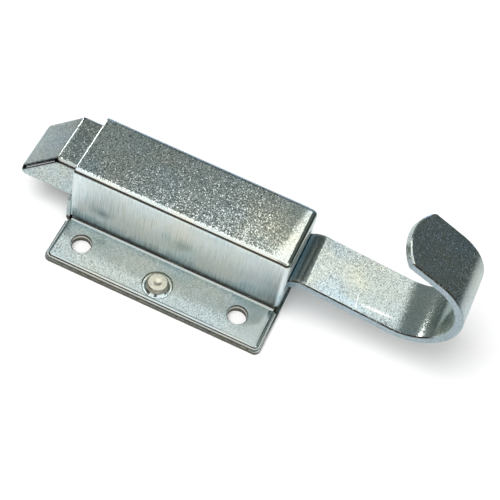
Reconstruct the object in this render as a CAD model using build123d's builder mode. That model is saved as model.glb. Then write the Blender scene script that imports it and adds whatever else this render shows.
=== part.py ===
from build123d import *
from math import cos, pi, radians, sin, tan
import os

# Spring latch with a hook pull. Millimetres, +Z up off the mounting face.
# The origin is the middle of the two screw holes, on the mounting face.
# +X runs from the bolt to the hook, +Y from the flange towards the housing.

# Housing: one pressed steel shell with a flange folded out along its near foot
housing_length = 75.0
housing_width = 25.0
housing_height = 29.0
housing_sheet = 1.8
housing_bend = 1.9
end_fall = 0.45
end_fall_run = 4.0
end_fall_radius = 20.0
mouth_roll = 0.5
flange_reach = 16.5
flange_overhang = 0.3
foot_bend = 1.2
foot_relief = 1.0
flange_corner = 1.8
flange_edge_roll = 1.3
tenon_length = 8.0
tenon_inset = 14.0

# Base plate: thinner sheet under the housing, turned up in front below the bolt
base_sheet = 1.3
base_margin = 0.5
base_corner = 1.9
lip_bend = 0.8
tenon_fit = 0.05

# Screw holes and the rivet that ties the flange to the base plate
first_hole_in = 8.3
last_hole_in = 10.7
hole_line_out = 7.8
screw_hole_d = 6.6
hole_chamfer = 0.3
rivet_along = 0.5
rivet_out = 2.3
rivet_head_d = 7.2
rivet_head_height = 1.9
rivet_shank_d = 5.0
rivet_foot_d = 7.0
rivet_dimple_d = 2.8
rivet_dimple_depth = 0.4
rivet_chamfer = 0.5
rivet_fit = 0.05
stake_ring_d = 10.4
stake_ring_width = 0.9
stake_ring_depth = 0.45

# Latch bolt: a folded channel with a sloping nose
bolt_sheet = 1.8
bolt_bend = 1.8
bolt_top_gap = 0.2
bolt_side_gap = 0.35
bolt_foot_gap = 0.3
bolt_inside = 34.0
nose_reach = 19.2
nose_flat = 7.2
nose_height = 14.8
nose_blunt = 2.6
nose_corner = 1.9
nose_ridge = 0.7
seam_gap = 0.55
stop_gap = 0.2
lip_gap = 0.3
cheek_corner = 1.5

# Pull handle: one strip, from the spring tab inside to the tip of the hook
strip_thick = 3.0
strip_edge = 0.4
strip_side_gap = 0.3
tongue_side_gap = 0.3
tongue_shoulder = 2.0
tab_in = 7.0
tab_bend = 3.0
tab_gap = 0.3
cheek_tenon = 6.0
cheek_tenon_first = 15.0
cheek_tenon_pitch = 12.0
cheek_tenon_fit = 0.05
joggle_angle = 42.0
joggle_low_bend = 4.5
joggle_high_bend = 5.0
joggle_out = 5.3
joggle_rise = 5.2
bar_droop = 5.1
bar_length = 29.8
hook_radius = 17.0
tail_angle = 24.0
tail_length = 15.7
tip_radius = 14.0
tip_edge = 0.35
slot_gap = 0.4

# Return spring and the rod that keeps it straight
travel = 17.0
spring_outer_d = 8.0
spring_wire = 1.0
spring_turns = 17
spring_turn_gap = 0.05
spring_top_gap = 0.3
spring_foot_gap = 1.9
chords_per_turn = 12
wire_sides = 6
rod_play = 0.3
rod_end_room = 3.0
rod_shank_d = 4.0
rod_point = 0.8
rod_fit = 0.05

# How far a cut runs past the face it breaks through, and how near counts as equal
cut_past = 1.0
same = 0.01

# Places that follow from the sizes above
hole_spacing = housing_length - first_hole_in - last_hole_in
x_open = -(first_hole_in + hole_spacing / 2)
x_end = x_open + housing_length
y_wall = hole_line_out
y_far = y_wall + housing_width
y_mid = (y_wall + y_far) / 2
flange_top = base_sheet + housing_sheet
x_flange_low = x_open - flange_overhang
x_flange_high = x_end + flange_overhang
y_flange = y_wall - flange_reach
inner_width = housing_width - 2 * housing_sheet
foot_rise = housing_sheet + foot_bend

bolt_width = inner_width - 2 * bolt_side_gap
bolt_inner = bolt_width - 2 * bolt_sheet
bolt_top = housing_height - housing_sheet - bolt_top_gap
bolt_ceiling = bolt_top - bolt_sheet
nose_foot = bolt_top - nose_height
cheek_foot = base_sheet + bolt_foot_gap
x_tip = x_open - nose_reach
x_ridge = x_open - nose_flat
x_step = x_open + stop_gap
x_bolt_back = x_open + bolt_inside
lip_top = nose_foot - lip_gap

spring_z = bolt_ceiling - spring_top_gap - spring_outer_d / 2
tongue_top = spring_z - spring_outer_d / 2 - spring_foot_gap
strip_width = inner_width - 2 * strip_side_gap
tongue_width = bolt_inner - 2 * tongue_side_gap
tongue_foot = tongue_top - strip_thick
tongue_mid = tongue_top - strip_thick / 2
tab_top = bolt_ceiling - tab_gap
x_tab = x_open + tab_in
x_tab_back = x_tab + strip_thick / 2
x_shoulder = x_bolt_back + tongue_shoulder
tenon_centres = [
    x_open + cheek_tenon_first,
    x_open + cheek_tenon_first + cheek_tenon_pitch,
]

x_spring_seat = x_end - housing_sheet
rod_d = spring_outer_d - 2 * spring_wire - 2 * rod_play
x_rod_end = x_spring_seat - travel - rod_end_room

# The joggle climbs from the tongue to the bar just outside the end wall
up = radians(joggle_angle)
down = radians(bar_droop)
x_bar = x_end + joggle_out
z_bar = tongue_mid + joggle_rise
low_run = joggle_low_bend * sin(up)
low_rise = joggle_low_bend * (1 - cos(up))
high_run = joggle_high_bend * (sin(up) + sin(down))
high_rise = joggle_high_bend * (cos(down) - cos(up))
ramp_rise = joggle_rise - low_rise - high_rise
ramp_length = ramp_rise / sin(up)
x_joggle = x_bar - high_run - ramp_length * cos(up) - low_run
ramp_top_x = x_bar - high_run - strip_thick / 2 * sin(up)
ramp_top_z = z_bar - high_rise + strip_thick / 2 * cos(up)
bar_top_at_wall = ramp_top_z - (ramp_top_x - x_end) * tan(up)
slot_foot = tongue_foot - slot_gap
slot_top = bar_top_at_wall + slot_gap

rivet_at = (rivet_along, -rivet_out)
rivet_hole_r = rivet_shank_d / 2 + rivet_fit
rivet_foot_rise = (rivet_foot_d - rivet_shank_d) / 2
hole_ends = [(-hole_spacing / 2, 0), (hole_spacing / 2, 0)]
y_far_inner = y_far - housing_sheet
far_tenons = [x_open + tenon_inset, x_end - tenon_inset]

# HOUSING
# The shell is a block, falling a little towards its closed end as drawn corners
# do, with its edges bent round, hollowed from the open end and the foot.
with BuildPart() as housing:
    with BuildSketch(Plane.XZ.offset(-y_far)):
        with BuildLine():
            Polyline(
                (x_open, base_sheet),
                (x_open, housing_height),
                (x_end - end_fall_run, housing_height),
                (x_end, housing_height - end_fall),
                (x_end, base_sheet),
                close=True,
            )
        make_face()
        fillet(vertices().group_by(Axis.X)[1], end_fall_radius)
        fillet(vertices().group_by(Axis.X)[-1].sort_by(Axis.Y)[-1], housing_bend)
    extrude(amount=housing_width)
    for side in (0, -1):
        outline = housing.faces().sort_by(Axis.Y)[side].edges()
        foot_edge = outline.sort_by(Axis.Z)[0]
        open_edge = outline.sort_by(Axis.X)[0]
        fillet([edge for edge in outline if edge not in (foot_edge, open_edge)], housing_bend)
    mouth = housing.faces().sort_by(Axis.X)[0]
    foot = housing.faces().sort_by(Axis.Z)[0]
    offset(amount=-housing_sheet, openings=[mouth, foot])

    # The far foot clears the bend of the base plate's lip
    far_foot = housing.edges().filter_by(Axis.Y).group_by(Axis.Z)[0].group_by(Axis.X)[0]
    chamfer(far_foot.sort_by(Axis.Y)[-1], foot_relief)

    # The near foot is cut away, and a bend takes its place between two reliefs
    with BuildSketch(Plane.XY.offset(base_sheet)):
        with Locations((x_open, y_wall)):
            Rectangle(housing_length, housing_sheet, align=(Align.MIN, Align.MIN))
    extrude(amount=foot_rise, mode=Mode.SUBTRACT)
    with BuildSketch(Plane.YZ.offset(x_open + foot_relief)):
        with Locations((y_wall - foot_bend, base_sheet + foot_rise)):
            Circle(foot_rise)
            Circle(foot_bend, mode=Mode.SUBTRACT)
            Rectangle(foot_rise, foot_rise, align=(Align.MIN, Align.MAX), mode=Mode.INTERSECT)
    extrude(amount=housing_length - 2 * foot_relief)

    # The shell's outer edge is rolled round the mouth
    rim = housing.edges().filter_by_position(Axis.X, x_open - same, x_open + same)
    rim_top = rim.filter_by_position(Axis.Z, housing_height - same, housing_height + same)
    rim_near = rim.filter_by_position(Axis.Y, y_wall - same, y_wall + same)
    rim_far = rim.filter_by_position(Axis.Y, y_far - same, y_far + same)
    rim_bends = rim.filter_by(GeomType.CIRCLE)
    rim_bends = rim_bends.filter_by(lambda edge: abs(edge.radius - housing_bend) < same)
    fillet(rim_top + rim_near + rim_far + rim_bends, mouth_roll)

    # Flange, with the rolled upper edge that blanking leaves
    with BuildSketch(Plane.XY.offset(base_sheet)):
        with BuildLine():
            Polyline(
                (x_flange_low, y_wall - foot_bend),
                (x_flange_low, y_flange),
                (x_flange_high, y_flange),
                (x_flange_high, y_wall - foot_bend),
                close=True,
            )
        make_face()
        fillet(vertices().group_by(Axis.Y)[0], flange_corner)
    extrude(amount=housing_sheet)
    rim = housing.edges().filter_by_position(Axis.Z, flange_top - same, flange_top + same)
    rim = rim.filter_by_position(Axis.Y, y_flange - same, y_wall - foot_bend - same)
    fillet(rim, flange_edge_roll)

    # The end wall has a slot for the handle
    with BuildSketch(Plane.YZ.offset(x_end - housing_bend)):
        with Locations((y_mid, (slot_foot + slot_top) / 2)):
            Rectangle(inner_width, slot_top - slot_foot)
    extrude(amount=2 * housing_bend, mode=Mode.SUBTRACT)

    # The far wall stands in the base plate on two tenons
    with BuildSketch():
        with Locations(*[(x, y_far_inner) for x in far_tenons]):
            Rectangle(tenon_length, housing_sheet, align=(Align.CENTER, Align.MIN))
    extrude(amount=base_sheet)

    # Screw holes, the rivet's hole and the ring that staking leaves round it
    with Locations(*[(x, y, flange_top) for x, y in hole_ends]):
        Hole(screw_hole_d / 2)
    hole_rims = housing.edges().filter_by(GeomType.CIRCLE)
    hole_rims = hole_rims.filter_by(lambda edge: abs(edge.radius - screw_hole_d / 2) < same)
    chamfer(hole_rims.group_by(Axis.Z)[-1], hole_chamfer)
    with Locations((rivet_at[0], rivet_at[1], flange_top)):
        Hole(rivet_hole_r)
    with BuildSketch(Plane.XZ.offset(rivet_out)):
        with BuildLine():
            Polyline(
                (rivet_along + stake_ring_d / 2, flange_top + cut_past),
                (rivet_along + stake_ring_d / 2, flange_top),
                (rivet_along + stake_ring_d / 2 - stake_ring_depth, flange_top - stake_ring_depth),
                (rivet_along + stake_ring_d / 2 - stake_ring_width, flange_top - stake_ring_depth),
                (rivet_along + rivet_head_d / 2, flange_top),
                (rivet_along + rivet_head_d / 2, flange_top + cut_past),
                close=True,
            )
        make_face()
    revolve(axis=Axis((rivet_at[0], rivet_at[1], 0), (0, 0, 1)), mode=Mode.SUBTRACT)

# BASE PLATE
# Flat under the housing and its flange, turned up into a lip below the bolt.
x_base_low = x_flange_low - base_margin
x_base_high = x_flange_high + base_margin
y_base = y_flange - base_margin
with BuildPart() as base_plate:
    with BuildSketch():
        with BuildLine():
            Polyline(
                (x_base_low, y_wall - foot_bend),
                (x_base_low, y_base),
                (x_base_high, y_base),
                (x_base_high, y_far),
                (x_open + lip_bend, y_far),
                (x_open + lip_bend, y_wall),
                (x_open + foot_relief, y_wall),
                (x_open + foot_relief, y_wall - foot_bend),
                close=True,
            )
        make_face()
        fillet(vertices().group_by(Axis.Y)[0], base_corner)
        with Locations(*[(x, y_far) for x in far_tenons]):
            Rectangle(
                tenon_length + 2 * tenon_fit,
                housing_sheet + tenon_fit,
                align=(Align.CENTER, Align.MAX),
                mode=Mode.SUBTRACT,
            )
        with Locations(*hole_ends):
            Circle(screw_hole_d / 2, mode=Mode.SUBTRACT)
    extrude(amount=base_sheet)
    with BuildSketch(Plane.XZ.offset(-y_far)):
        with Locations((x_open + lip_bend, base_sheet + lip_bend)):
            Circle(base_sheet + lip_bend)
            Circle(lip_bend, mode=Mode.SUBTRACT)
            Rectangle(
                base_sheet + lip_bend,
                base_sheet + lip_bend,
                align=(Align.MAX, Align.MAX),
                mode=Mode.INTERSECT,
            )
        with Locations((x_open, base_sheet + lip_bend)):
            Rectangle(base_sheet, lip_top - base_sheet - lip_bend, align=(Align.MAX, Align.MIN))
    extrude(amount=housing_width)
    with Locations((rivet_at[0], rivet_at[1], base_sheet)):
        Hole(rivet_hole_r)
    rivet_mouth = base_plate.edges().filter_by(GeomType.CIRCLE).group_by(Axis.Z)[0]
    rivet_mouth = rivet_mouth.filter_by(lambda edge: abs(edge.radius - rivet_hole_r) < same)
    chamfer(rivet_mouth, rivet_foot_rise)

# FLANGE RIVET
# Turned pin: a bare head over the flange, a shank, and a foot set flush below.
with BuildPart() as flange_rivet:
    with BuildSketch(Plane.XZ.offset(rivet_out)):
        with BuildLine():
            Polyline(
                (rivet_along, 0),
                (rivet_along + rivet_foot_d / 2, 0),
                (rivet_along + rivet_shank_d / 2, rivet_foot_rise),
                (rivet_along + rivet_shank_d / 2, flange_top),
                (rivet_along + rivet_head_d / 2, flange_top),
                (rivet_along + rivet_head_d / 2, flange_top + rivet_head_height - rivet_chamfer),
                (rivet_along + rivet_head_d / 2 - rivet_chamfer, flange_top + rivet_head_height),
                (rivet_along + rivet_dimple_d / 2, flange_top + rivet_head_height),
                (rivet_along, flange_top + rivet_head_height - rivet_dimple_depth),
                close=True,
            )
        make_face()
    revolve(axis=Axis((rivet_at[0], rivet_at[1], 0), (0, 0, 1)))

# LATCH BOLT
# The side outline is pulled out to the bolt's width, the top edges are bent
# round, and the same outline one sheet further in hollows it from below.
slope = (nose_height - nose_blunt) / (nose_reach - nose_flat)
slope_length = ((nose_height - nose_blunt) ** 2 + (nose_reach - nose_flat) ** 2) ** 0.5
sheet_drop = bolt_sheet * slope_length / (nose_reach - nose_flat)
x_inner_ridge = x_ridge + (sheet_drop - bolt_sheet) / slope
z_beak = nose_foot + nose_blunt
with BuildPart() as latch_bolt:
    with BuildSketch(Plane.XZ.offset(-(y_mid + bolt_width / 2))):
        with BuildLine():
            Polyline(
                (x_tip, nose_foot),
                (x_tip, z_beak),
                (x_ridge, bolt_top),
                (x_bolt_back, bolt_top),
                (x_bolt_back, cheek_foot),
                (x_step, cheek_foot),
                (x_step, nose_foot),
                close=True,
            )
        make_face()
        fillet(vertices().group_by(Axis.X)[0].sort_by(Axis.Y)[0], nose_corner)
        fillet(vertices().group_by(Axis.Y)[0], cheek_corner)
    extrude(amount=bolt_width)
    ridge = latch_bolt.edges().filter_by(Axis.Y).group_by(Axis.Z)[-1].sort_by(Axis.X)[0]
    fillet(ridge, nose_ridge)
    top_edges = latch_bolt.edges().filter_by(Axis.X).group_by(Axis.Z)[-1]
    fillet(top_edges, bolt_bend)
    with BuildSketch(Plane.XZ.offset(-(y_mid + bolt_inner / 2))):
        with BuildLine():
            Polyline(
                (x_tip - cut_past, z_beak - sheet_drop - slope * cut_past),
                (x_inner_ridge, bolt_ceiling),
                (x_bolt_back + cut_past, bolt_ceiling),
                (x_bolt_back + cut_past, 0),
                (x_tip - cut_past, 0),
                close=True,
            )
        make_face()
    extrude(amount=bolt_inner, mode=Mode.SUBTRACT)

    # Open seam where the sloping plate meets each cheek
    nose_line = Vector(x_ridge - x_tip, 0, bolt_top - z_beak).normalized()
    for side in (-1, 1):
        corner = Vector(x_tip, y_mid + side * bolt_width / 2, z_beak) - nose_line * seam_gap
        with BuildSketch(Plane(origin=corner, x_dir=(0, 1, 0), z_dir=nose_line)):
            Rectangle(seam_gap, 3 * bolt_sheet, rotation=-side * 45)
        extrude(amount=slope_length - nose_ridge, mode=Mode.SUBTRACT)

    # Slots that the tongue's tenons are staked in
    with BuildSketch(Plane.XZ.offset(-(y_mid + bolt_width / 2))):
        with Locations(*[(x, tongue_mid) for x in tenon_centres]):
            Rectangle(cheek_tenon + 2 * cheek_tenon_fit, strip_thick + 2 * cheek_tenon_fit)
    extrude(amount=bolt_width, mode=Mode.SUBTRACT)

# PULL HANDLE
# One strip follows this line: tab, tongue, joggle, bar, hook and tail.
with BuildPart() as pull_handle:
    with BuildLine(Plane.XZ.offset(-y_mid)) as strip_line:
        tab = Line((x_tab, tab_top), (x_tab, tongue_mid + tab_bend))
        tab_turn = JernArc(tab @ 1, tab % 1, tab_bend, 90)
        tongue = Line(tab_turn @ 1, (x_joggle, tongue_mid))
        joggle_in = JernArc(tongue @ 1, tongue % 1, joggle_low_bend, joggle_angle)
        ramp = Line(joggle_in @ 1, joggle_in @ 1 + (joggle_in % 1) * ramp_length)
        joggle_turn = JernArc(ramp @ 1, ramp % 1, joggle_high_bend, -(joggle_angle + bar_droop))
        bar = Line(joggle_turn @ 1, joggle_turn @ 1 + (joggle_turn % 1) * bar_length)
        hook = JernArc(bar @ 1, bar % 1, hook_radius, 180 + bar_droop - tail_angle)
        tail = Line(hook @ 1, hook @ 1 + (hook % 1) * tail_length)
    with BuildSketch(Plane(origin=strip_line.line @ 0, x_dir=(0, 1, 0), z_dir=(0, 0, -1))):
        Rectangle(strip_width, strip_thick)
        chamfer(vertices(), strip_edge)
    sweep(path=strip_line.line)

    # The tongue narrows to pass between the bolt's cheeks
    cheek_side = (strip_width - tongue_width) / 2
    with BuildSketch(Plane.XY):
        for side in (-1, 1):
            with Locations((x_open, y_mid + side * (strip_width + tongue_width) / 4)):
                Rectangle(x_shoulder - x_open, cheek_side, align=(Align.MIN, Align.CENTER))
    extrude(amount=housing_height, mode=Mode.SUBTRACT)
    with BuildSketch(Plane.XY.offset(tongue_foot)):
        with Locations(*[(x, y_mid) for x in tenon_centres]):
            Rectangle(cheek_tenon, bolt_width)
    extrude(amount=strip_thick)

    # The tail ends in an arc across its width
    tip = tail @ 1
    tip_plane = Plane(
        origin=(tip.X, y_mid, tip.Z),
        x_dir=(0, 1, 0),
        z_dir=(sin(radians(tail_angle)), 0, cos(radians(tail_angle))),
    )
    with BuildSketch(tip_plane.offset(-strip_thick)):
        with Locations((0, cut_past)):
            Rectangle(strip_width + 2 * cut_past, tip_radius + cut_past, align=(Align.CENTER, Align.MAX))
        with Locations((0, -tip_radius)):
            Circle(tip_radius, mode=Mode.SUBTRACT)
    extrude(amount=2 * strip_thick, mode=Mode.SUBTRACT)
    tip_face = pull_handle.faces().filter_by(GeomType.CYLINDER).sort_by(Axis.Z)[-1]
    chamfer(tip_face.edges(), tip_edge)

    # Hole that the spring rod is staked in
    with BuildSketch(Plane.YZ.offset(x_tab - strip_thick)):
        with Locations((y_mid, spring_z)):
            Circle(rod_shank_d / 2 + rod_fit)
    extrude(amount=2 * strip_thick, mode=Mode.SUBTRACT)

# SPRING ROD
# Shouldered rod staked in the tab; its end is pointed to lead the coils on.
with BuildPart() as spring_rod:
    with BuildSketch(Plane.XZ.offset(-y_mid)):
        with BuildLine():
            Polyline(
                (x_tab - strip_thick / 2, spring_z),
                (x_tab - strip_thick / 2, spring_z + rod_shank_d / 2),
                (x_tab_back, spring_z + rod_shank_d / 2),
                (x_tab_back, spring_z + rod_d / 2),
                (x_rod_end - rod_point, spring_z + rod_d / 2),
                (x_rod_end, spring_z + rod_d / 2 - rod_point),
                (x_rod_end, spring_z),
                close=True,
            )
        make_face()
    revolve(axis=Axis((0, y_mid, spring_z), (1, 0, 0)))

# RETURN SPRING
# Compression spring between the tab and the end wall, with a closed turn at each
# end. Straight chords of six-sided wire draw the coil with few faces.
with BuildPart() as return_spring:
    coil_radius = (spring_outer_d - spring_wire) / 2
    coil_length = x_spring_seat - x_tab_back - spring_wire
    closed_pitch = spring_wire + spring_turn_gap
    open_pitch = (coil_length - 2 * closed_pitch) / (spring_turns - 2)
    coil_points = []
    for chord in range(spring_turns * chords_per_turn + 1):
        turn = chord / chords_per_turn
        closed_turns = min(turn, 1) + max(turn - spring_turns + 1, 0)
        along = closed_pitch * closed_turns + open_pitch * (turn - closed_turns)
        x_coil = x_tab_back + spring_wire / 2 + along
        y_coil = y_mid + coil_radius * cos(2 * pi * turn)
        z_coil = spring_z + coil_radius * sin(2 * pi * turn)
        coil_points.append((x_coil, y_coil, z_coil))
    with BuildLine():
        coil = Polyline(*coil_points)
    with BuildSketch(Plane(origin=coil @ 0, z_dir=coil % 0)):
        RegularPolygon(spring_wire / 2, wire_sides)
    sweep(transition=Transition.RIGHT)

# EXPORT
os.makedirs("parts", exist_ok=True)

housing.part.label = "housing"
export_step(housing.part, "parts/housing.step")

base_plate.part.label = "base_plate"
export_step(base_plate.part, "parts/base_plate.step")

flange_rivet.part.label = "flange_rivet"
export_step(flange_rivet.part, "parts/flange_rivet.step")

latch_bolt.part.label = "latch_bolt"
export_step(latch_bolt.part, "parts/latch_bolt.step")

pull_handle.part.label = "pull_handle"
export_step(pull_handle.part, "parts/pull_handle.step")

spring_rod.part.label = "spring_rod"
export_step(spring_rod.part, "parts/spring_rod.step")

return_spring.part.label = "return_spring"
export_step(return_spring.part, "parts/return_spring.step")
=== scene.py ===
# %% [markdown]
# # A zinc-plated spring latch
# The latch is pressed and bent from mild steel sheet, then barrel-plated with
# zinc and dipped in a clear blue passivate. Its solids come from the CAD model.
# This lesson gives them their finish, a floor, lights and a camera.

import math

import bpy
from mathutils import Matrix, Vector


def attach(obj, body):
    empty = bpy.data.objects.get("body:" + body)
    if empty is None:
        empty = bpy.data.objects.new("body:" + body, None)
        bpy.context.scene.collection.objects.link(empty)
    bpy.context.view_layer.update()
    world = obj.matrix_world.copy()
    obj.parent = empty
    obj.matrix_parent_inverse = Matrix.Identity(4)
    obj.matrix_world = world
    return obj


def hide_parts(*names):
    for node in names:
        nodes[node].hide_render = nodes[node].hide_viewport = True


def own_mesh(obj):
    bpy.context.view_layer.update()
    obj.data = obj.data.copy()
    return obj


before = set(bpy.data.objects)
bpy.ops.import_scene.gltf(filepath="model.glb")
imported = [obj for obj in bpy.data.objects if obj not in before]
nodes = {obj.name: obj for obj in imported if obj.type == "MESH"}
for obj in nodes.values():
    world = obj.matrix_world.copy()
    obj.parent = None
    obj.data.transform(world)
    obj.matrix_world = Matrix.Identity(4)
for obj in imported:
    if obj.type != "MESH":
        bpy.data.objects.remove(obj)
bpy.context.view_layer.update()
print("nodes:", sorted(nodes))

# %% [markdown]
# ## Units, colours and nodes
# Blender works in metres and in linear colour, but a maker thinks in
# millimetres and reads colours as hex values off a screen. Two small helpers
# bridge that. A third adds a shader node with its settings and links, so that
# every material below reads from top to bottom, and two more start a material
# and put an object in the scene.

# %% Helpers for sizes, colours and nodes
mm = 0.001


def linear(hex_colour):
    """An sRGB hex value as linear red, green, blue and alpha."""
    channels = [int(hex_colour[at:at + 2], 16) / 255 for at in (1, 3, 5)]
    return [c / 12.92 if c <= 0.04045 else ((c + 0.055) / 1.055) ** 2.4 for c in channels] + [1.0]


def add(tree, kind, sockets=None, **settings):
    """Adds a shader node. A socket takes a value, another node's output, or a node, for its first output in use."""
    node = tree.nodes.new("ShaderNode" + kind)
    for name, value in settings.items():
        setattr(node, name, value)
    for name, value in (sockets or {}).items():
        if isinstance(value, bpy.types.Node):
            value = next(output for output in value.outputs if output.enabled)
        if isinstance(value, bpy.types.NodeSocket):
            tree.links.new(value, node.inputs[name])
        else:
            node.inputs[name].default_value = value
    return node


def empty_material(name):
    """A material with no nodes in it yet."""
    material = bpy.data.materials.new(name)
    material.use_nodes = True
    material.node_tree.nodes.clear()
    return material


def put_in_scene(name, data):
    """An object that shows a mesh, a light or a camera."""
    thing = bpy.data.objects.new(name, data)
    bpy.context.scene.collection.objects.link(thing)
    return thing


print("mid grey in linear light:", [round(c, 3) for c in linear("#808080")[:3]])

# %% [markdown]
# ## The camera
# The latch was photographed from above its screw flange with a long lens, and
# the picture is turned a little, so the camera is rolled. Three directions fix
# it: where it looks, which way is right in the picture, and so which way is up.

# %% Camera
camera_place = Vector((0.0667, -0.2215, 0.38))
looking = Vector((-0.0993, 0.5442, -0.8331)).normalized()
picture_right = Vector((0.9073, 0.3933, 0.1488))
focal_length = 98.15
film_width = 36.0
nearest_seen = 0.01

picture_right = (picture_right - looking * picture_right.dot(looking)).normalized()
picture_up = picture_right.cross(looking)
lens = bpy.data.cameras.new("camera")
lens.sensor_width = film_width
lens.lens = focal_length
lens.clip_start = nearest_seen
camera = put_in_scene("camera", lens)
turn = Matrix((picture_right, picture_up, -looking)).transposed()
camera.matrix_world = Matrix.Translation(camera_place) @ turn.to_4x4()
bpy.context.scene.camera = camera
print("camera to latch:", round(camera_place.length, 3), "m")

# %% [markdown]
# ## The studio
# Bright metal has hardly any colour of its own: it shows the room. A product
# studio gives it a white table, one big soft light overhead, and darkness
# behind. Here the soft light is a rectangle above the latch, seen only in
# reflections. Its back edge runs so that the flat top of the case just misses
# it and stays dark, while the handle's bar, which leans a few degrees, catches
# it whole. Where that edge lies decides how the whole picture reads. How bright
# a lamp's face looks is set here, and its power in watts follows from its size.

# %% Overhead soft light
scene = bpy.context.scene
scene.view_settings.view_transform = "Standard"

softbox_height = 0.9
softbox_size = (1.55, 1.5)
softbox_shift = 0.1
softbox_turn = math.radians(25)
softbox_back_edge = 0.535
softbox_radiance = 1.12


def hang_lamp(name, size, radiance, place, rotation):
    """A lamp that the camera doesn't see. Two sizes make a rectangle, and one makes a disc."""
    light = bpy.data.lights.new(name, "AREA")
    if isinstance(size, tuple):
        light.shape = "RECTANGLE"
        light.size, light.size_y = size
        face_area = size[0] * size[1]
    else:
        light.shape = "DISK"
        light.size = size
        face_area = math.pi * size ** 2 / 4
    light.energy = radiance * math.pi * face_area
    lamp = put_in_scene(name, light)
    lamp.location = place
    lamp.rotation_euler = rotation
    lamp.visible_camera = False
    print(name, "power:", round(light.energy, 4), "W")
    return lamp


across = Vector((math.cos(softbox_turn), math.sin(softbox_turn), 0))
away = Vector((-math.sin(softbox_turn), math.cos(softbox_turn), 0))
softbox_middle = softbox_back_edge - softbox_size[1] / 2
softbox_place = away * softbox_middle + across * softbox_shift + Vector((0, 0, softbox_height))
softbox = hang_lamp("softbox", softbox_size, softbox_radiance, softbox_place, (0, 0, softbox_turn))
softbox.visible_diffuse = False

# %% [markdown]
# A wide lamp high on the camera's side lights only the table. Its soft shadow
# lies close under the latch. It is kept out of reflections, so that the metal
# goes on showing one clean light.

# %% Table light
table_light_place = Vector((-0.2, -0.22, 1.0))
table_light_size = 0.8
table_light_radiance = 5.2

toward_table = table_light_place.to_track_quat("Z", "Y").to_euler()
table_light = hang_lamp("table_light", table_light_size, table_light_radiance, table_light_place, toward_table)
table_light.visible_glossy = False

# %% [markdown]
# A photographer lifts an edge with one small lamp just out of the picture. This
# one stands behind the bolt and draws the thin white lines along its ridge and
# along the rolled mouth of the case. Only reflections see it.

# %% Edge light
edge_light_place = Vector((-0.154, 0.136, 0.147))
edge_light_size = 0.07
edge_light_radiance = 8.0
bolt_ridge = Vector((-0.04, 0.02, 0.028))

toward_ridge = (edge_light_place - bolt_ridge).to_track_quat("Z", "Y").to_euler()
edge_light = hang_lamp("edge_light", edge_light_size, edge_light_radiance, edge_light_place, toward_ridge)
edge_light.visible_diffuse = False

# %% [markdown]
# The corner between the flange and the wall turns light straight back, so what
# it shows is the camera. A dark disc round the lens stands in for camera and
# tripod. Only reflections see it, and it darkens the foot of the wall.

# %% The camera's own reflection
hood_radius = 0.06
hood_corners = 24
hood_grey = linear("#2c3436")

angles = [2 * math.pi * corner / hood_corners for corner in range(hood_corners)]
rim = [(hood_radius * math.cos(angle), hood_radius * math.sin(angle), 0) for angle in angles]
hood_mesh = bpy.data.meshes.new("camera_hood")
hood_mesh.from_pydata(rim, [], [tuple(range(hood_corners))])
hood = put_in_scene("camera_hood", hood_mesh)
hood.matrix_world = camera.matrix_world
hood.visible_camera = False
hood.visible_diffuse = False
hood.visible_shadow = False
black = empty_material("black_camera_body")
dark = add(black.node_tree, "Emission", {"Color": hood_grey, "Strength": 1.0})
add(black.node_tree, "OutputMaterial", {"Surface": dark})
hood_mesh.materials.append(black)
print("camera disc:", hood_radius * 2, "m across")

# %% [markdown]
# The room round the table matters only in reflections. Seen by the camera it is
# white. Seen by the metal it is pale at the horizon, darker overhead behind the
# latch, and a dim brown on the camera's side, which draws the dark line under
# every bright bend. Diffuse surfaces get an even white fill. Each pair below
# says between which two parts of a unit direction one tone turns into the next.

# %% Room
horizon_strength = 1.6
room_horizon = [horizon_strength * c for c in linear("#b2c9f0")]
room_left = linear("#808987")
room_right = linear("#586060")
room_camera_side = linear("#4f443b")
fill_level = 0.58
white = (1, 1, 1, 1)
horizon_from, horizon_to = 0.25, 0.1
back_from, back_to = 0.75, 0.9
right_from, right_to = 0.1, 0.5
camera_from, camera_to = -0.1, -0.45


def off_a_mirror(tree, path):
    """One for a ray that comes off metal or through glass, and nought for any other."""
    rays = {0: path.outputs["Is Glossy Ray"], 1: path.outputs["Is Transmission Ray"]}
    return add(tree, "Math", rays, operation="MAXIMUM")


world = bpy.data.worlds.new("room")
scene.world = world
world.use_nodes = True
tree = world.node_tree
tree.nodes.clear()
way = add(tree, "SeparateXYZ", {0: add(tree, "TexCoord").outputs["Generated"]})
low = add(tree, "MapRange", {"Value": way.outputs["Z"], "From Min": horizon_from, "From Max": horizon_to})
back = add(tree, "MapRange", {"Value": way.outputs["Y"], "From Min": back_from, "From Max": back_to})
horizon = add(tree, "Math", {0: low, 1: back}, operation="MULTIPLY")
rightward = add(tree, "MapRange", {"Value": way.outputs["X"], "From Min": right_from, "From Max": right_to})
walls = add(tree, "Mix", {"Factor": rightward, "A": room_left, "B": room_right}, data_type="RGBA")
behind = add(tree, "Mix", {"Factor": horizon, "A": walls, "B": room_horizon}, data_type="RGBA")
nearer = add(tree, "MapRange", {"Value": way.outputs["Y"], "From Min": camera_from, "From Max": camera_to})
seen = add(tree, "Mix", {"Factor": nearer, "A": behind, "B": room_camera_side}, data_type="RGBA")
path = add(tree, "LightPath")
reflected = off_a_mirror(tree, path)
fill = add(tree, "Background", {"Color": white, "Strength": fill_level})
studio = add(tree, "Background", {"Color": seen, "Strength": 1.0})
backdrop = add(tree, "Background", {"Color": white, "Strength": 1.0})
lit = add(tree, "MixShader", {0: reflected, 1: fill, 2: studio})
shown = add(tree, "MixShader", {0: path.outputs["Is Camera Ray"], 1: lit, 2: backdrop})
add(tree, "OutputWorld", {"Surface": shown})
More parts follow.
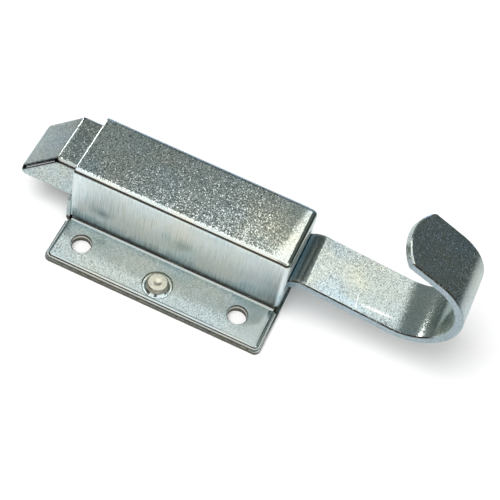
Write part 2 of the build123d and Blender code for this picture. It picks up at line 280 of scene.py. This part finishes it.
print("room nodes:", len(tree.nodes))

# %% [markdown]
# The table is a matt white sheet. A little glow, seen only by the camera, lifts
# it to clean white and leaves the latch's soft shadow. In reflections the sheet
# is a cooler white that falls off to grey far from the latch, as the light on
# it does.

# %% Table
table_size = 3.0
table_white = linear("#f4f4f4")
table_near = linear("#dde4e6")
table_far = linear("#5d6567")
table_glow = 0.12
brightest_at = (0.05, -0.02, 0)
near_reach, far_reach = 0.1, 0.28

half = table_size / 2
table_mesh = bpy.data.meshes.new("table")
table_mesh.from_pydata([(-half, -half, 0), (half, -half, 0), (half, half, 0), (-half, half, 0)], [], [(0, 1, 2, 3)])
table = put_in_scene("table", table_mesh)
paper = empty_material("matt_white_paper")
tree = paper.node_tree
place = add(tree, "TexCoord").outputs["Object"]
from_handle = add(tree, "VectorMath", {0: place, 1: brightest_at}, operation="SUBTRACT")
reach = add(tree, "VectorMath", {0: from_handle.outputs["Vector"]}, operation="LENGTH")
far = add(tree, "MapRange", {"Value": reach.outputs["Value"], "From Min": near_reach, "From Max": far_reach})
path = add(tree, "LightPath")
reflected = off_a_mirror(tree, path)
mirrored = add(tree, "Mix", {"Factor": far, "A": table_near, "B": table_far}, data_type="RGBA")
colour = add(tree, "Mix", {"Factor": reflected, "A": table_white, "B": mirrored}, data_type="RGBA")
glow_level = add(tree, "Math", {0: path.outputs["Is Camera Ray"], 1: table_glow}, operation="MULTIPLY")
matt = add(tree, "BsdfDiffuse", {"Color": colour})
glow = add(tree, "Emission", {"Color": colour, "Strength": glow_level})
both = add(tree, "AddShader", {0: matt, 1: glow})
add(tree, "OutputMaterial", {"Surface": both})
table_mesh.materials.append(paper)
print("table:", table_size, "m square")

# %% [markdown]
# ## What the press leaves
# The case is pressed from one sheet, and the tool shows in the light. The roof
# falls away toward the closed end, most of all at the near corner, and the
# flange droops a little. The solids are flat there. A lean of the shading
# normal gives the change in light and moves no outline. As true slopes these
# leans would drop the roof's corner by some 0.3 mm before its rim and the
# flange's edge by nearly 1 mm. How squarely a face looks up, from 0 for a wall
# to 1 for the roof, tells the pattern where it is.

# %% Lean of the pressed sheet
level_from, level_full = 0.9, 0.97
end_lean = 0.09
near_share = -0.6
rim_lean = 0.22
flange_lean = (0.01, -0.06, 0.0)
near_side, middle, far_side = 9 * mm, 17 * mm, 31 * mm
fall_starts_near, fall_starts_far, fall_ends = 29.5 * mm, 35 * mm, 37 * mm
rim_starts, rim_ends = 36.2 * mm, 37.2 * mm
flange_above, flange_below = 3.6 * mm, 3.2 * mm


def pressed_lean(tree, at, facing):
    """Lean of the roof toward the closed end, and of the flange toward its free edge."""
    x, y, z = [at.outputs[axis] for axis in "XYZ"]
    level = add(tree, "MapRange", {"Value": facing.outputs["Z"], "From Min": level_from, "From Max": level_full})
    sides = {"Value": y, "From Min": near_side, "From Max": far_side}
    start = add(tree, "MapRange", {**sides, "To Min": fall_starts_near, "To Max": fall_starts_far})
    fall = {"Value": x, "From Min": start, "From Max": fall_ends, "To Max": end_lean}
    gentle = add(tree, "MapRange", fall, interpolation_type="SMOOTHSTEP")
    steep = add(tree, "MapRange", {"Value": x, "From Min": rim_starts, "From Max": rim_ends, "To Max": rim_lean})
    near = add(tree, "MapRange", {"Value": y, "From Min": middle, "From Max": near_side, "To Max": near_share})
    along = add(tree, "Math", {0: gentle, 1: steep}, operation="ADD")
    aside = add(tree, "Math", {0: gentle, 1: near}, operation="MULTIPLY")
    roof = add(tree, "CombineXYZ", {"X": along, "Y": aside})
    low_down = add(tree, "MapRange", {"Value": z, "From Min": flange_above, "From Max": flange_below})
    flange = add(tree, "VectorMath", {0: flange_lean, "Scale": low_down}, operation="SCALE")
    both = add(tree, "VectorMath", {0: roof, 1: flange}, operation="ADD")
    return add(tree, "VectorMath", {0: both, "Scale": level}, operation="SCALE")


corner_drop = end_lean * (fall_ends - fall_starts_near) / 2
print("as a slope, the roof would drop by", round(corner_drop / mm, 2), "mm before its rim")

# %% [markdown]
# The tool also irons the sheet in the bends, on the flange and near the closed
# end, and there the plate's grain lies flat. These two helpers say how much of
# the grain is kept, from 0 to 1.

# %% Ironing of the pressed sheet
ironed_grain = 0.1
flange_grain = 0.6
end_grain = 0.3
bend_starts, bend_ironed, bend_width = 0.985, 0.93, 0.06
upright_wall = 0.1
flange_from, flange_full = 5 * mm, 3.5 * mm
end_from, end_full = 24 * mm, 35 * mm


def ironed_bends(tree, upright, steepest):
    """One on the flats, little in the bends, and one again past the steepest bend, where upright drops to zero."""
    into = {"Value": upright, "From Min": bend_starts, "From Max": bend_ironed, "To Min": 1.0, "To Max": ironed_grain}
    out_of = {"From Min": steepest + bend_width, "From Max": steepest, "To Min": ironed_grain, "To Max": 1.0}
    first = add(tree, "MapRange", into)
    last = add(tree, "MapRange", {"Value": upright, **out_of})
    return add(tree, "Math", {0: first, 1: last}, operation="MAXIMUM")


def ironed_case(tree, at, upright):
    """How much grain the case keeps: little in its bends, on its flange and toward its closed end."""
    height = {"Value": at.outputs["Z"], "From Min": flange_from, "From Max": flange_full}
    flange = add(tree, "MapRange", {**height, "To Min": 1.0, "To Max": flange_grain})
    length = {"Value": at.outputs["X"], "From Min": end_from, "From Max": end_full}
    end = add(tree, "MapRange", {**length, "To Min": 1.0, "To Max": end_grain})
    bends = ironed_bends(tree, upright, upright_wall)
    flat = add(tree, "Math", {0: bends, 1: flange}, operation="MULTIPLY")
    return add(tree, "Math", {0: flat, 1: end}, operation="MULTIPLY")


print("grain left in a bend:", ironed_grain)

# %% [markdown]
# ## Zinc plate
# A barrel-plated zinc coat is a skin of crystals about a tenth of a millimetre
# across. Each is a small mirror with a tilt of its own, so the flats sparkle:
# most crystals show the dark room and a few catch the soft light. Cells of a
# Voronoi pattern stand for the crystals, and each cell's random colour gives it
# a tilt and a shade. Real crystals are finer than a pixel of this picture, so
# they are drawn two to three times as coarse, at 0.2 to 0.3 mm.

# %% Crystals of the plate
flash_over = 0.88
flash_tip = 0.5
half_way = (0.5, 0.5, 0.5)


def crystal_tilt(tree, place, size, lean, grain):
    """How each crystal tips off the sheet, and its random numbers. The ones that tip far are those that flash."""
    crystals = add(tree, "TexVoronoi", {"Vector": place, "Scale": 1 / size, "Randomness": 1.0})
    chance = add(tree, "SeparateColor", {0: crystals.outputs["Color"]})
    chosen = add(tree, "Math", {0: chance.outputs["Green"], 1: flash_over}, operation="GREATER_THAN")
    flashing = add(tree, "Math", {0: chosen, 1: grain}, operation="MULTIPLY")
    full_tip = add(tree, "MapRange", {"Value": flashing, "To Min": lean, "To Max": flash_tip})
    tip = add(tree, "Math", {0: full_tip, 1: grain}, operation="MULTIPLY")
    way = add(tree, "VectorMath", {0: crystals.outputs["Color"], 1: half_way}, operation="SUBTRACT")
    return add(tree, "VectorMath", {0: way, "Scale": tip}, operation="SCALE"), chance


print("one crystal in", round(1 / (1 - flash_over)), "flashes")

# %% [markdown]
# The press tool drags the sheet down the walls and scores it from top to foot.
# Noise that is squeezed sideways and stretched along the wall draws the scores.
# They are lighter and darker, and some thousandths of a millimetre deep, which
# a bump can give without any more faces.

# %% Drawing streaks of the walls
streak_width, streak_length, streak_depth = 0.3 * mm, 12 * mm, 0.006 * mm
streak_shades = {"From Min": 0.3, "From Max": 0.7, "To Min": 0.74, "To Max": 1.64}
fine_noise = {"Scale": 1.0, "Detail": 4.0, "Roughness": 0.7}


def drawing_streaks(tree, place):
    """The height of the streaks, and the shade that they give."""
    stretch = (1 / streak_width, 1 / streak_width, 1 / streak_length)
    stretched = add(tree, "Mapping", {"Vector": place, "Scale": stretch})
    height = add(tree, "TexNoise", {"Vector": stretched, **fine_noise}).outputs["Fac"]
    return height, add(tree, "MapRange", {"Value": height, **streak_shades})


print("streaks are", round(streak_length / streak_width), "times as long as they are wide")

# %% [markdown]
# The blue passivate is a clear film, thinner than a micron. Where it is uneven
# it tints the zinc in clouds from straw to pale blue. Down the foot of the walls
# the colour turns a darker blue-grey, painted shade where the wall meets the
# flange. Zinc is a metal, so the tint belongs in its base colour, where it
# colours the reflections.

# %% Tints of the passivate, and painted shade at the wall foot
cloud_size = 15 * mm
cloud_edge = {"From Min": 0.35, "From Max": 0.65}
cloud_share = 0.5
foot_shade_blue = linear("#98aeb4")
foot_shade_low, foot_shade_high, foot_shade_full = 6 * mm, 13 * mm, 3 * mm


def cloudy_tint(tree, clouds, tint, stain):
    """The plate's own tint, half covered by two stains that take turns."""
    cloudy = add(tree, "MapRange", {"Value": clouds, **cloud_edge})
    stained = add(tree, "Mix", {"Factor": cloudy, "A": linear(stain[0]), "B": linear(stain[1])}, data_type="RGBA")
    return add(tree, "Mix", {"Factor": cloud_share, "A": linear(tint), "B": stained}, data_type="RGBA")


def shaded_wall_foot(tree, clouds, height, wall, colour):
    """A colour that turns blue-grey down the foot of the walls, from higher up where a cloud is: painted shade at the
    wall foot.
    """
    patch = add(tree, "MapRange", {"Value": clouds, **cloud_edge, "To Min": foot_shade_low, "To Max": foot_shade_high})
    foot_shade_ramp = add(tree, "MapRange", {"Value": height, "From Min": patch, "From Max": foot_shade_full})
    foot_shade_mask = add(tree, "Math", {0: foot_shade_ramp, 1: wall}, operation="MULTIPLY")
    return add(tree, "Mix", {"Factor": foot_shade_mask, "A": colour, "B": foot_shade_blue}, data_type="RGBA")


print("clouds are", round(cloud_size / mm), "mm across")

# %% [markdown]
# A sheared edge is partly torn, so its plate is duller and more even in tone
# than the rolled face of the sheet. On the plates these edges lie low and face
# sideways, and on the strip they are its two long sides. Where a face lies and
# which way it looks is enough to find them.

# %% Sheared edges
sheared_above, sheared_below = 3.1 * mm, 2.9 * mm
side_from, side_full = 0.5, 0.8


def sheared_foot(tree, height, wall):
    """One on the low edges of the pressed plates."""
    low_down = add(tree, "MapRange", {"Value": height, "From Min": sheared_above, "From Max": sheared_below})
    return add(tree, "Math", {0: low_down, 1: wall}, operation="MULTIPLY")


def sheared_sides(tree, facing):
    """One on the two long sides of the strip."""
    sideways = add(tree, "Math", {0: facing.outputs["Y"]}, operation="ABSOLUTE")
    return add(tree, "MapRange", {"Value": sideways, "From Min": side_from, "From Max": side_full})


print("plates show their sheared edge below", round(sheared_above / mm, 1), "mm")

# %% [markdown]
# One function puts the plate together for every steel piece. Crystals tip the
# shading normal, streaks add relief to the walls, and shades multiply the tint.
# The flats keep a low roughness, so that each crystal mirrors sharply, and the
# scored walls are duller. The metal keeps Blender's own index of refraction.

# %% Zinc-plated steel
wall_from, wall_full = 0.5, 0.15
wall_roughness = 0.26
bolt_slope = 0.72
ironed_shade = 0.85


def zinc_plated_steel(
    name, tint, stain, lean, shades, roughness, crystal=0.3, streaked=0.0, sheared=None, sides=False, pressed=False
):
    """Electroplated mild steel sheet. Lean is how far its crystals tip, and crystal their size in millimetres."""
    material = empty_material(name)
    tree = material.node_tree
    place = add(tree, "TexCoord").outputs["Object"]
    at = add(tree, "SeparateXYZ", {0: place})
    height = at.outputs["Z"]
    facing = add(tree, "SeparateXYZ", {0: add(tree, "TexCoord").outputs["Normal"]})
    upright = add(tree, "Math", {0: facing.outputs["Z"]}, operation="ABSOLUTE")
    wall = add(tree, "MapRange", {"Value": upright, "From Min": wall_from, "From Max": wall_full})
    drawn = add(tree, "Math", {0: wall, 1: streaked}, operation="MULTIPLY")

    # Where the grain is ironed flat
    if pressed:
        grain = ironed_case(tree, at, upright)
    elif sides:
        grain = 1.0
    else:
        grain = ironed_bends(tree, upright, bolt_slope)

    # The way each crystal faces
    tilt, chance = crystal_tilt(tree, place, crystal * mm, lean, grain)
    sheet = add(tree, "NewGeometry").outputs["Normal"]
    if pressed:
        sheet = add(tree, "VectorMath", {0: sheet, 1: pressed_lean(tree, at, facing)}, operation="ADD")
    leaning = add(tree, "VectorMath", {0: sheet, 1: tilt}, operation="ADD")
    facet = add(tree, "VectorMath", {0: leaning}, operation="NORMALIZE")

    # The tint
    clouds = add(tree, "TexNoise", {"Vector": place, "Scale": 1 / cloud_size, "Detail": 4.0}).outputs["Fac"]
    colour = cloudy_tint(tree, clouds, tint, stain)
    # Painted shade down the foot of the drawn walls
    if streaked:
        colour = shaded_wall_foot(tree, clouds, height, wall, colour)
    if sheared:
        cut = sheared_sides(tree, facing) if sides else sheared_foot(tree, height, wall)
        colour = add(tree, "Mix", {"Factor": cut, "A": colour, "B": linear(sheared)}, data_type="RGBA")

    # Each crystal is a shade lighter or darker, and drawn walls show streaks in its place
    streaks, streaky = drawing_streaks(tree, place)
    speck = add(tree, "MapRange", {"Value": chance.outputs["Blue"], "To Min": shades[0], "To Max": shades[1]})
    grainy = add(tree, "Mix", {"Factor": grain, "A": ironed_shade, "B": speck}, data_type="FLOAT")
    pale = add(tree, "Mix", {"Factor": drawn, "A": grainy, "B": streaky}, data_type="FLOAT")
    shade = add(tree, "VectorMath", {0: colour, "Scale": pale}, operation="SCALE")

    # Relief of the streaks, and a duller gloss on the walls
    relief = add(tree, "Bump", {"Strength": drawn, "Distance": streak_depth, "Height": streaks, "Normal": facet})
    gloss = add(tree, "MapRange", {"Value": wall, "To Min": roughness, "To Max": roughness + wall_roughness})
    metal = {"Base Color": shade, "Metallic": 1.0, "Roughness": gloss, "Normal": relief}
    add(tree, "OutputMaterial", {"Surface": add(tree, "BsdfPrincipled", metal)})
    print(name, "has", len(tree.nodes), "nodes")
    return material


def dress(node, material):
    """Gives a CAD solid its finish."""
    nodes[node].data.materials.clear()
    nodes[node].data.materials.append(material)
    print(node, "is", material.name)


print("walls are rougher by", wall_roughness)

# %% [markdown]
# ## Marks
# Where drops of the dip dried and where a tool scraped, the plate is tinted. The
# same marks paint shade, reflections and highlights where these fall, as in
# creases and where two sheets meet. Each such mark has a place on the part, so it
# is a soft-edged box in the part's own coordinates that tints what lies in it. No
# picture has to be wrapped round the part, and a mark stays put in every view.

# %% A mark or painted light on the plate
mark_softness = 0.5


def mark_and_painted_light(material, centre, half_size, colour, share, turn=0.0, tilt=0.0, soft=mark_softness):
    """Tints a soft-edged box of the surface, for stains and scrapes and for painted shade, reflections and
    highlights: sizes in millimetres, turn in degrees about Z and tilt about Y.
    """
    tree = material.node_tree
    surface = next(node for node in tree.nodes if node.type == "BSDF_PRINCIPLED")
    below = surface.inputs["Base Color"].links[0].from_socket
    box = {
        "Vector": add(tree, "TexCoord").outputs["Object"],
        "Location": [c * mm for c in centre],
        "Rotation": (0, math.radians(tilt), math.radians(turn)),
        "Scale": [h * mm for h in half_size],
    }
    local = add(tree, "Mapping", box, vector_type="TEXTURE")
    reach = add(tree, "VectorMath", {0: local}, operation="ABSOLUTE")
    axes = add(tree, "SeparateXYZ", {0: reach})
    cover = share
    for axis in "XYZ":
        inside = add(tree, "MapRange", {"Value": axes.outputs[axis], "From Min": 1.0, "From Max": 1.0 - soft})
        cover = add(tree, "Math", {0: inside, 1: cover}, operation="MULTIPLY")
    tinted = add(tree, "Mix", {"Factor": cover, "A": below, "B": linear(colour)}, data_type="RGBA")
    tree.links.new(tinted.outputs["Result"], surface.inputs["Base Color"])


print("a mark fades over the outer", mark_softness, "of its half size")

# %% [markdown]
# ## The case
# The case has the strongest sparkle on its roof, drawn walls, and a flange whose
# sheared edge shows a burnished band over a dull torn one. The burnished band is
# painted pale, partly its own tone and partly a painted highlight. It has a pale
# cream patch at its closed end, two blue-grey patches on the near wall, darker
# grey on the flange, and painted shade in thin dark lines inside the flange's
# rolled rim, round the roof and in the joint with the base plate.

# %% Finish of the case
straw, pale_blue = "#e8e5d2", "#cbdfe8"
joint_shade, crease_shade = "#2a2622", "#2c3031"

case = zinc_plated_steel(
    "zinc_plated_case", "#eef8f6", (straw, pale_blue), lean=0.095, shades=(0.2, 1.5), roughness=0.12,
    streaked=1.0, sheared="#a09b90", pressed=True,
)
# Patches: pale cream on the roof, blue-grey on the near wall, darker grey on the flange
mark_and_painted_light(case, centre=(29, 17, 28.5), half_size=(13, 14, 2), colour="#f6efd4", share=0.6, soft=0.9)
mark_and_painted_light(case, centre=(-25, 7.8, 12.6), half_size=(4.6, 1, 3.8), colour="#587684", share=0.65, soft=0.95)
mark_and_painted_light(case, centre=(3.6, 7.8, 15.0), half_size=(7, 1, 4.6), colour="#58727c", share=0.33, soft=0.95)
mark_and_painted_light(case, centre=(34, -1, 3.2), half_size=(9, 9, 0.4), colour="#6f7c7a", share=0.4, soft=0.7)
mark_and_painted_light(case, centre=(0, 0, 3.5), half_size=(60, 30, 0.55), colour="#949e9d", share=0.6, soft=0.1)
# The burnished band of the sheared edge, its own tone with a painted highlight, and painted shade in the joint with
# the base plate
mark_and_painted_light(case, centre=(0, 0, 2.3), half_size=(60, 30, 0.35), colour="#efece2", share=0.7)
mark_and_painted_light(case, centre=(0, 0, 1.45), half_size=(60, 30, 0.18), colour=joint_shade, share=0.7)
# Painted shade: dark lines in the creases inside the flange's rim and round the roof
mark_and_painted_light(case, centre=(1.2, -7.55, 3), half_size=(36.2, 0.16, 1), colour=crease_shade, share=0.85)
for crease in (-35.45, 37.85):
    mark_and_painted_light(case, centre=(crease, 0, 3), half_size=(0.16, 7.6, 1), colour=crease_shade, share=0.8)
mark_and_painted_light(case, centre=(37.95, 20.3, 28), half_size=(0.22, 14, 1.6), colour="#23282a", share=0.85)
mark_and_painted_light(case, centre=(1.2, 31.05, 28.5), half_size=(36.5, 0.24, 1.5), colour="#2b3236", share=0.7)
dress("housing", case)

# %% [markdown]
# ## The handle
# The strip took a finer, brighter plate. At the joggle, where the strip leaves
# the case, a dark band and a blue band with a bright line are painted reflection
# and a painted highlight. The bar has a straw patch, a pale blue edge, two bright
# scrapes and a greyer tone toward the hook, and the hook's inside has painted shade.

# %% Finish of the handle
strip = zinc_plated_steel(
    "zinc_plated_strip", "#e0e7e4", ("#ecebd6", "#cfe0e8"), lean=0.05, shades=(0.55, 1.1), roughness=0.13,
    crystal=0.2, sheared="#c3cfd5", sides=True,
)
# A greyer part toward the hook, a straw patch and a pale blue edge on the bar
mark_and_painted_light(strip, centre=(68, 20.3, 18), half_size=(20, 12, 6), colour="#b3bfbd", share=0.55, soft=0.7)
mark_and_painted_light(strip, centre=(58, 21, 18), half_size=(9, 6, 3), colour="#f2eccb", share=0.45, turn=-30, soft=0.95)
mark_and_painted_light(strip, centre=(57, 12.0, 18), half_size=(14, 2.4, 3), colour="#c3dbe8", share=0.7, turn=-4, soft=0.9)
# Scrapes on the bar
mark_and_painted_light(strip, centre=(61.3, 13.0, 18), half_size=(0.25, 3.0, 3), colour="#ffffff", share=0.9, turn=10, soft=0.6)
mark_and_painted_light(strip, centre=(68.3, 13.6, 18), half_size=(6.3, 0.7, 3), colour="#ffffff", share=0.9, turn=4, soft=0.6)
# Painted dark reflection, a painted blue reflection and its painted highlight line at the joggle
mark_and_painted_light(strip, centre=(42.3, 20.3, 16), half_size=(1.95, 10.1, 5), colour="#465052", share=0.7, turn=1.9, soft=0.12)
mark_and_painted_light(strip, centre=(40.2, 20.3, 15), half_size=(1.7, 12, 5), colour="#4793ae", share=0.9, soft=0.4)
mark_and_painted_light(strip, centre=(40.4, 20.3, 15), half_size=(0.24, 12, 5), colour="#dff0f6", share=0.9)
# Painted shade and dark reflection on the inside of the hook
mark_and_painted_light(strip, centre=(88, 20.3, 25), half_size=(6, 12, 12), colour="#869690", share=0.75, soft=0.6)
dress("pull_handle", strip)

# %% [markdown]
# ## The bolt and the base plate
# The bolt's nose is hollow, and an open seam runs down each side of its slope.
# A real hollow swallows the light that falls into it. Here that light would
# come back too bright, so the zinc inside is coloured nearly black, a painted
# shade. The base plate is plainer, with painted shade in the joint where the
# flange lies on it.

# %% Finishes of the bolt and the base plate
nose_tilt = -45.5

bolt = zinc_plated_steel(
    "zinc_plated_bolt", "#dde6e6", (straw, pale_blue), lean=0.15, shades=(0.45, 1.22), roughness=0.14
)
for seam in (11.3, 29.3):
    seam_box = dict(centre=(-48.54, seam, 19.95), half_size=(9.5, 1.28, 1.28))
    mark_and_painted_light(bolt, **seam_box, colour="#0a0a0c", share=1.0, tilt=nose_tilt, soft=0.1)
hollow_box = dict(centre=(-46.0, 20.3, 17.5), half_size=(8, 8.7, 3))
mark_and_painted_light(bolt, **hollow_box, colour="#141416", share=0.95, tilt=nose_tilt, soft=0.05)
# Painted shade on the bolt's top beside the case's mouth
mark_and_painted_light(bolt, centre=(-39.2, 20.3, 27), half_size=(3.4, 12, 0.8), colour="#8f9692", share=0.5, soft=0.1)
dress("latch_bolt", bolt)

plate = zinc_plated_steel(
    "zinc_plated_base", "#d4d9d4", (straw, pale_blue), lean=0.14, shades=(0.85, 1.1), roughness=0.2, sheared="#6e685c"
)
mark_and_painted_light(plate, centre=(0, 20, 1.3), half_size=(60, 40, 0.2), colour=joint_shade, share=0.9)
dress("base_plate", plate)

# %% [markdown]
# ## The rivet and the rod
# The rivet is turned bright and put in after plating, so it is bare steel with
# a warm, even tone and fine tool marks that spread its gloss. The rod inside
# the case is drawn bright. The same finish serves, with less tilt and less
# difference between its grains.

# %% Finishes of the turned and drawn parts
bare_shades = (0.95, 1.05)
rivet_metal = zinc_plated_steel(
    "bare_turned_steel", "#f4f1e2", ("#e6e2cc", "#dad8c8"), lean=0.05, shades=(0.92, 1.05), roughness=0.38
)
rod_metal = zinc_plated_steel(
    "bright_drawn_rod", "#b4b6b8", ("#b4b4b0", "#b0b4b8"), lean=0.05, shades=bare_shades, roughness=0.25
)
dress("flange_rivet", rivet_metal)
dress("spring_rod", rod_metal)

# %% [markdown]
# ## The return spring
# The spring is wound from round music wire and slipped over the rod inside the
# case. A bevelled curve draws round wire with few points, and the last turn at
# each end lies almost closed, as on a spring that is wound to be compressed.
# On the real latch the coil shortens toward the end of the case when the hook is pulled; here it is fixed to the
# case.

# %% Return spring
seat = Vector((36.9, 20.3, 20.9)) * mm
spring_length = 63.7 * mm
spring_outer = 8.0 * mm
wire_size = 1.0 * mm
turns = 17
points_per_turn = 16
closed_pitch = 1.05 * mm

coil_run = spring_length - wire_size
open_pitch = (coil_run - 2 * closed_pitch) / (turns - 2)
winding = (spring_outer - wire_size) / 2
curve = bpy.data.curves.new("spring_line", "CURVE")
curve.dimensions = "3D"
curve.bevel_depth = wire_size / 2
curve.bevel_resolution = 3
curve.resolution_u = 2
curve.use_fill_caps = True
line = curve.splines.new("NURBS")
line.points.add(turns * points_per_turn)
for step, point in enumerate(line.points):
    turned = step / points_per_turn
    closed = min(turned, 1) + max(turned - turns + 1, 0)
    along = closed * closed_pitch + (turned - closed) * open_pitch
    angle = 2 * math.pi * turned
    x = seat.x - spring_length + wire_size / 2 + along
    point.co = (x, seat.y + winding * math.cos(angle), seat.z + winding * math.sin(angle), 1)
line.order_u = 4
line.use_endpoint_u = True
coil_mesh = bpy.data.meshes.new_from_object(bpy.data.objects.new("spring_line", curve))
coil = put_in_scene("wound_spring", coil_mesh)
wire = zinc_plated_steel(
    "spring_music_wire", "#8c8e90", ("#8c8c88", "#888c90"), lean=0.05, shades=bare_shades, roughness=0.3
)
coil_mesh.materials.append(wire)
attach(coil, "case")
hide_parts("return_spring")
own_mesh(coil)
print("spring faces:", len(coil_mesh.polygons))

# %% [markdown]
# ## End
# The finish is meant to leave the size of the part as it is.

# %% End
print("scene built")
